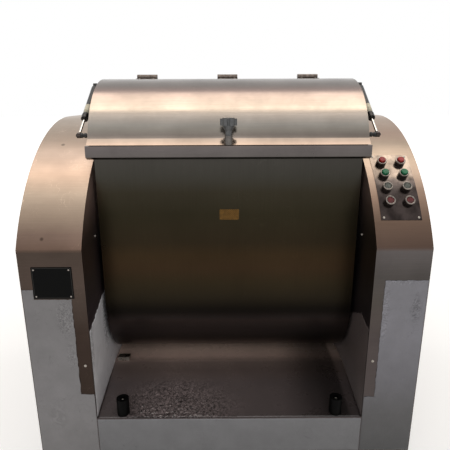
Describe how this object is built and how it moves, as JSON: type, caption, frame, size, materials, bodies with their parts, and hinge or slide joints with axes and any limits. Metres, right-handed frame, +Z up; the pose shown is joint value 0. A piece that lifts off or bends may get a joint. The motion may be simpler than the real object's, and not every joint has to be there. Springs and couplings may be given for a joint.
{
  "type": "dough mixer",
  "caption": "Floor-standing horizontal dough mixer: a tipping stainless trough between arched columns, with a hinged lid on gas springs and push-button controls.",
  "frame": {"origin": "on the floor, under the middle of the machine's box", "axes": "+Z up, the front with the lid's knob faces -Y, +X to the right seen from the front"},
  "size_m": [1.21, 0.783, 1.2683],
  "materials": {
    "brushed_stainless": "brushed stainless steel sheet",
    "polished_stainless": "ground and polished stainless steel",
    "painted_frame": "grey primer on welded bar",
    "motor_paint": "blue grey machine enamel",
    "cast_iron": "oiled cast iron",
    "gear_steel": "machined carbon steel",
    "zinc_steel": "turned and zinc plated steel",
    "black_steel": "black lacquered steel",
    "chrome_rod": "hard chrome",
    "chrome_collar": "plated collar",
    "black_rubber": "moulded black rubber",
    "black_plastic": "moulded black plastic",
    "black_plate": "black anodised plate, blank",
    "dark_plate": "dark grey painted plate",
    "red_cap": "red moulded plastic",
    "green_cap": "green moulded plastic",
    "clear_cap": "pale green lens plastic",
    "dark_red_cap": "dark red lens plastic"
  },
  "bodies": {
    "root": {"left_cover": "brushed_stainless", "left_outer_panel": "brushed_stainless", "left_inner_panel": "brushed_stainless", "right_cover": "brushed_stainless", "right_outer_panel": "brushed_stainless", "right_inner_panel": "brushed_stainless", "left_back_panel": "brushed_stainless", "right_back_panel": "brushed_stainless", "front_panel": "brushed_stainless", "apron_deck": "brushed_stainless", "rear_panel": "brushed_stainless", "welded_frame": "painted_frame", "levelling_feet": "zinc_steel", "tilt_bumpers": "black_rubber", "stop_block": "zinc_steel", "control_plate": "dark_plate", "button_housings": "chrome_collar", "nameplate": "black_plate", "trunnion_bearings": "cast_iron", "pinion_shaft_bearings": "cast_iron", "drive_belts": "black_rubber", "drive_motor": "motor_paint", "tilt_gearmotor": "motor_paint"},
    "trough": {"trough_shell": "brushed_stainless", "trough_end_left": "brushed_stainless", "trough_end_right": "brushed_stainless", "trough_front_rim": "brushed_stainless", "trough_back_rim": "brushed_stainless", "rear_cover": "brushed_stainless", "fixed_hinge_leaves": "zinc_steel", "left_trunnion": "cast_iron", "right_trunnion": "cast_iron", "tilt_sector": "gear_steel", "low_spring_studs": "black_steel"},
    "lid": {"lid_shell": "brushed_stainless", "lid_hinge_leaves": "zinc_steel", "knob_sleeve": "zinc_steel", "high_spring_studs": "black_steel"},
    "knob": {"star_knob": "black_plastic"},
    "agitator": {"agitator": "polished_stainless", "agitator_gear": "gear_steel"},
    "pinion_shaft": {"pinion_shaft": "gear_steel", "drive_pinion": "gear_steel", "large_pulley": "cast_iron"},
    "motor_rotor": {"motor_shaft": "gear_steel", "motor_pulley": "cast_iron"},
    "tilt_pinion": {"tilt_pinion": "gear_steel"},
    "left_rod": {"left_spring_rod": "chrome_rod"},
    "left_tube": {"left_spring_tube": "black_steel"},
    "right_rod": {"right_spring_rod": "chrome_rod"},
    "right_tube": {"right_spring_tube": "black_steel"},
    "cap_left_lowest": {"button_cap_left_lowest": "dark_red_cap"},
    "cap_right_lowest": {"button_cap_right_lowest": "dark_red_cap"},
    "cap_left_lower": {"button_cap_left_lower": "clear_cap"},
    "cap_right_lower": {"button_cap_right_lower": "clear_cap"},
    "cap_left_upper": {"button_cap_left_upper": "green_cap"},
    "cap_right_upper": {"button_cap_right_upper": "green_cap"},
    "cap_left_highest": {"button_cap_left_highest": "red_cap"},
    "cap_right_highest": {"button_cap_right_highest": "red_cap"}
  },
  "joints": [
    {"name": "trough_tilt", "type": "hinge", "parent": "root", "child": "trough", "pos_m": [0, 0.0435, 0.521], "axis": [1, 0, 0], "range_deg": [0, 90]},
    {"name": "lid_open", "type": "hinge", "parent": "trough", "child": "lid", "pos_m": [0, 0.0435, 1.2598], "axis": [-1, 0, 0], "range_deg": [0, 70]},
    {"name": "knob_turn", "type": "hinge", "parent": "lid", "child": "knob", "pos_m": [0.0125, -0.27834, 1.1], "axis": [0, 0, 1], "continuous": true},
    {"name": "agitator_spin", "type": "hinge", "parent": "root", "child": "agitator", "pos_m": [0, 0.0435, 0.521], "axis": [1, 0, 0], "continuous": true},
    {"name": "pinion_shaft_spin", "type": "hinge", "parent": "root", "child": "pinion_shaft", "pos_m": [-0.52, 0.0435, 0.3185], "axis": [1, 0, 0], "continuous": true},
    {"name": "motor_spin", "type": "hinge", "parent": "root", "child": "motor_rotor", "pos_m": [-0.52, 0.2435, 0.156], "axis": [1, 0, 0], "continuous": true},
    {"name": "tilt_pinion_spin", "type": "hinge", "parent": "root", "child": "tilt_pinion", "pos_m": [0.5, 0.0435, 0.332], "axis": [1, 0, 0], "range_deg": [-450.5, 0.5]},
    {"name": "left_spring_swing", "type": "hinge", "parent": "trough", "child": "left_rod", "pos_m": [-0.436, -0.2465, 1.081], "axis": [1, 0, 0], "range_deg": [-0.5, 10.84]},
    {"name": "left_spring_slide", "type": "slide", "parent": "left_rod", "child": "left_tube", "axis": [0, 0.8315, 0.5556], "range_m": [-0.0005, 0.06514]},
    {"name": "right_spring_swing", "type": "hinge", "parent": "trough", "child": "right_rod", "pos_m": [0.461, -0.2465, 1.081], "axis": [1, 0, 0], "range_deg": [-0.5, 10.84]},
    {"name": "right_spring_slide", "type": "slide", "parent": "right_rod", "child": "right_tube", "axis": [0, 0.8315, 0.5556], "range_m": [-0.0005, 0.06514]},
    {"name": "press_left_lowest", "type": "slide", "parent": "root", "child": "cap_left_lowest", "axis": [0, 0.7775, -0.6289], "range_m": [0, 0.004], "stiffness_N_per_m": 400, "springref_m": -0.002},
    {"name": "press_right_lowest", "type": "slide", "parent": "root", "child": "cap_right_lowest", "axis": [0, 0.7775, -0.6289], "range_m": [0, 0.004], "stiffness_N_per_m": 400, "springref_m": -0.002},
    {"name": "press_left_lower", "type": "slide", "parent": "root", "child": "cap_left_lower", "axis": [0, 0.7278, -0.6858], "range_m": [0, 0.004], "stiffness_N_per_m": 400, "springref_m": -0.002},
    {"name": "press_right_lower", "type": "slide", "parent": "root", "child": "cap_right_lower", "axis": [0, 0.7278, -0.6858], "range_m": [0, 0.004], "stiffness_N_per_m": 400, "springref_m": -0.002},
    {"name": "press_left_upper", "type": "slide", "parent": "root", "child": "cap_left_upper", "axis": [0, 0.6739, -0.7388], "range_m": [0, 0.004], "stiffness_N_per_m": 400, "springref_m": -0.002},
    {"name": "press_right_upper", "type": "slide", "parent": "root", "child": "cap_right_upper", "axis": [0, 0.6739, -0.7388], "range_m": [0, 0.004], "stiffness_N_per_m": 400, "springref_m": -0.002},
    {"name": "press_left_highest", "type": "slide", "parent": "root", "child": "cap_left_highest", "axis": [0, 0.6162, -0.7876], "range_m": [0, 0.004], "stiffness_N_per_m": 400, "springref_m": -0.002},
    {"name": "press_right_highest", "type": "slide", "parent": "root", "child": "cap_right_highest", "axis": [0, 0.6162, -0.7876], "range_m": [0, 0.004], "stiffness_N_per_m": 400, "springref_m": -0.002}
  ],
  "couplings": [
    {"joint": "pinion_shaft_spin", "follows": "agitator_spin", "ratio": -4},
    {"joint": "motor_spin", "follows": "agitator_spin", "ratio": -12.858},
    {"joint": "tilt_pinion_spin", "follows": "trough_tilt", "ratio": -5},
    {"joint": "left_spring_swing", "follows": "lid_open", "ratio": 0.14766},
    {"joint": "left_spring_slide", "follows": "lid_open", "m_per_rad": 0.052912},
    {"joint": "right_spring_swing", "follows": "lid_open", "ratio": 0.14766},
    {"joint": "right_spring_slide", "follows": "lid_open", "m_per_rad": 0.052912}
  ]
}
